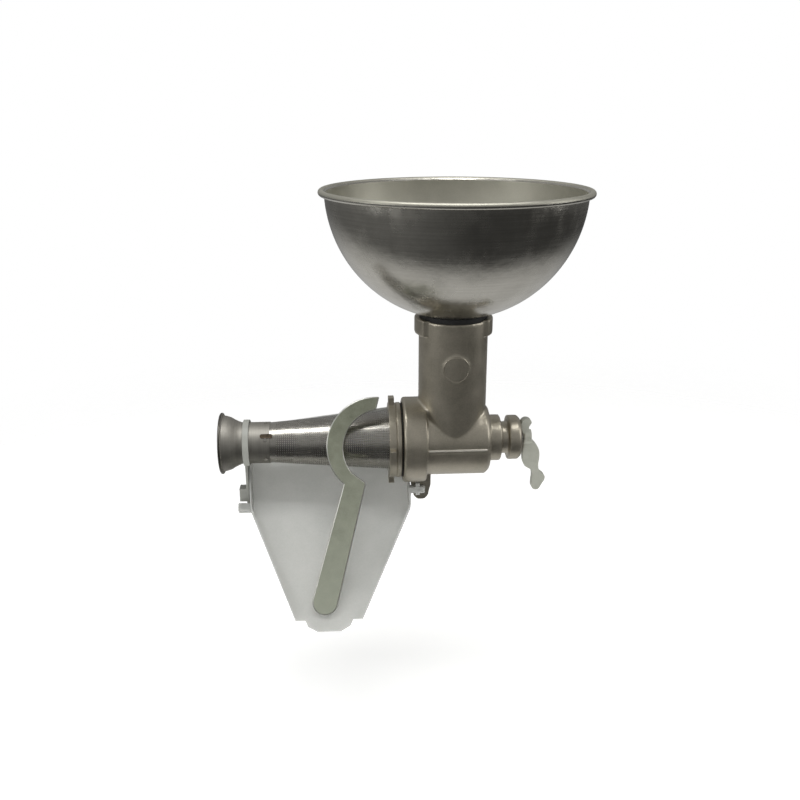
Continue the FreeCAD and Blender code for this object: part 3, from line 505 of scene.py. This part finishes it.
# perforated cone: rows of small holes through sheet, with a plain band at each end
coneSheet = {"smallMm": 19.8, "sheetMm": 0.8, "around": 72, "rows": 72, "bandRows": (3, 7),
             "holeShare": 0.31}


def makeCone(look):
    bm = bmesh.new()
    front, rear = coneLow.x, coneHigh.x
    step = (rear - front) / look["rows"]
    along = Matrix.Translation(((front + rear) / 2, 0, 0)) @ Matrix.Rotation(math.pi / 2, 4, "Y")
    bmesh.ops.create_cone(bm, cap_ends=False, segments=look["around"], radius1=look["smallMm"] * mm,
                          radius2=coneHigh.z, depth=rear - front, matrix=along)
    sides = [e for e in bm.edges if abs(e.verts[0].co.x - e.verts[1].co.x) > step]
    bmesh.ops.subdivide_edges(bm, edges=sides, cuts=look["rows"] - 1, use_grid_fill=True)
    left, right = front + look["bandRows"][0] * step, rear - look["bandRows"][1] * step
    cells = [f for f in bm.faces if left < f.calc_center_median().x < right]
    bmesh.ops.inset_individual(bm, faces=cells, thickness=look["holeShare"] * step, use_even_offset=True)
    bmesh.ops.delete(bm, geom=cells, context="FACES")
    bmesh.ops.recalc_face_normals(bm, faces=bm.faces)
    bmesh.ops.solidify(bm, geom=bm.faces[:], thickness=look["sheetMm"] * mm)
    addPiece(bm, "perforatedCone", "filter_cone")


makeCone(coneSheet)
print("turned pieces made")

# plain pale floor: lit under the mill, and running out softly into the white of the room
floorLook = {"middleM": (-0.1, 0.0, -0.3), "radiusM": 2.4, "around": 64, "fadeM": (0.55, 1.5),
             "paper": "#f6f6f4", "rough": 0.95, "shine": 0.1, "glow": 0.45}


def makeFloor(look):
    # matt paper: next to no shine, with a faint glow that keeps it white
    paper, tree, shader, place = newMaterial("palePaper")
    away = addNode(tree, "ShaderNodeVectorMath", {"operation": "LENGTH"}, {0: place})
    fade = addNode(tree, "ShaderNodeMapRange", {"interpolation_type": "SMOOTHSTEP"}, {
        0: away.outputs["Value"], 1: look["fadeM"][0], 2: look["fadeM"][1], 3: 1.0, 4: 0.0})
    setInputs(tree, shader, {
        "Base Color": linearFromHex(look["paper"]), "Roughness": look["rough"],
        "Specular IOR Level": look["shine"], "Emission Color": (1, 1, 1, 1),
        "Emission Strength": look["glow"], "Alpha": fade.outputs[0]})
    bm = bmesh.new()
    bmesh.ops.create_circle(bm, cap_ends=True, segments=look["around"], radius=look["radiusM"],
                            matrix=Matrix.Translation(look["middleM"]))
    floor = placeMesh(bm, "paleFloor", [paper], smooth=False)
    floor.visible_glossy = False


makeFloor(floorLook)

# soft studio light: softboxes overhead and at each side, and a weak one in front that no metal mirrors
studio = {
    "overhead": {"at": (-0.15, -0.30, 1.30), "aim": (-0.12, -0.05, 0.0), "size": (1.5, 0.38), "power": 13.5,
                 "mirrored": True},
    "leftFill": {"at": (-1.4, -0.5, 0.38), "aim": (-0.15, -0.05, 0.0), "size": (0.5, 0.5), "power": 2.7,
                 "mirrored": True},
    "frontFill": {"at": (-0.5, -1.4, 0.35), "aim": (-0.2, 0.0, -0.05), "size": (0.8, 0.8), "power": 3.0,
                  "mirrored": False},
    "rightFill": {"at": (1.4, -0.2, 0.5), "aim": (-0.05, 0.0, 0.05), "size": (0.3, 0.9), "power": 4.0,
                  "mirrored": True},
}
for name, look in studio.items():
    lamp = bpy.data.lights.new(name, "AREA")
    lamp.shape = "RECTANGLE"
    lamp.size, lamp.size_y = look["size"]
    lamp.energy = look["power"]
    holder = bpy.data.objects.new(name, lamp)
    holder.location = look["at"]
    holder.rotation_euler = (Vector(look["aim"]) - Vector(look["at"])).to_track_quat("-Z", "Y").to_euler()
    holder.visible_glossy = look["mirrored"]
    bpy.context.scene.collection.objects.link(holder)

# the room that lights the metal: pale below and a little behind, as (share, grey), with a pale ceiling,
# a lighter left, and dim elsewhere; the camera itself sees plain white
roomLook = {
    "white": 1.0, "below": (0.0, 0.447, -0.894),
    "steps": [(0.0, 0.05), (0.55, 0.05), (0.62, 0.2), (0.71, 0.45), (0.82, 0.58), (1.0, 0.62)],
    "ceiling": {"axis": "Z", "from": -0.2, "to": 0.2, "adds": 0.27},
    "left": {"axis": "X", "from": 0.2, "to": -0.9, "adds": 0.1}}


def makeRoom(look):
    world = bpy.data.worlds.new("dimRoom")
    world.use_nodes = True
    tree = world.node_tree
    room = tree.nodes["Background"]
    way = addNode(tree, "ShaderNodeTexCoord").outputs["Generated"]
    axes = addNode(tree, "ShaderNodeSeparateXYZ", inputs={0: way})
    share = addNode(tree, "ShaderNodeVectorMath", {"operation": "DOT_PRODUCT"}, {0: way, 1: look["below"]})
    shade = addNode(tree, "ShaderNodeValToRGB", inputs={0: share.outputs["Value"]})
    elements = shade.color_ramp.elements
    while len(elements) < len(look["steps"]):
        elements.new(0.5)  # its place is set just below
    for element, (position, grey) in zip(elements, look["steps"]):
        element.position = position
        element.color = (grey, grey, grey, 1.0)
    light = shade.outputs["Color"]
    for wall in (look["ceiling"], look["left"]):
        glow = addNode(tree, "ShaderNodeMapRange", inputs={
            0: axes.outputs[wall["axis"]], 1: wall["from"], 2: wall["to"], 3: 0.0, 4: wall["adds"]})
        lighter = addNode(tree, "ShaderNodeMath", {"operation": "ADD"}, {0: light, 1: glow.outputs[0]})
        light = lighter.outputs[0]
    setInputs(tree, room, {"Color": light})
    white = addNode(tree, "ShaderNodeBackground", inputs={"Color": (1, 1, 1, 1), "Strength": look["white"]})
    seen = addNode(tree, "ShaderNodeLightPath")
    mixed = addNode(tree, "ShaderNodeMixShader", inputs={
        0: seen.outputs["Is Camera Ray"], 1: room.outputs[0], 2: white.outputs[0]})
    setInputs(tree, tree.nodes["World Output"], {"Surface": mixed.outputs[0]})
    return world


bpy.context.scene.world = makeRoom(roomLook)
bpy.context.scene.view_settings.view_transform = "Standard"
print("floor, lights and room made")

# camera where the photograph was taken from
cameraLook = {"at": (-0.16613, -0.83576, 0.32368), "turnDeg": (71.37, 0.0, -3.61), "lensMm": 40.5,
              "sensorMm": 36.0, "nearM": 0.01}
cameraData = bpy.data.cameras.new("camera")
cameraData.sensor_width = cameraLook["sensorMm"]
cameraData.lens = cameraLook["lensMm"]
cameraData.clip_start = cameraLook["nearM"]
camera = bpy.data.objects.new("camera", cameraData)
camera.location = cameraLook["at"]
camera.rotation_euler = [math.radians(a) for a in cameraLook["turnDeg"]]
bpy.context.scene.collection.objects.link(camera)
bpy.context.scene.camera = camera

print("scene ready")
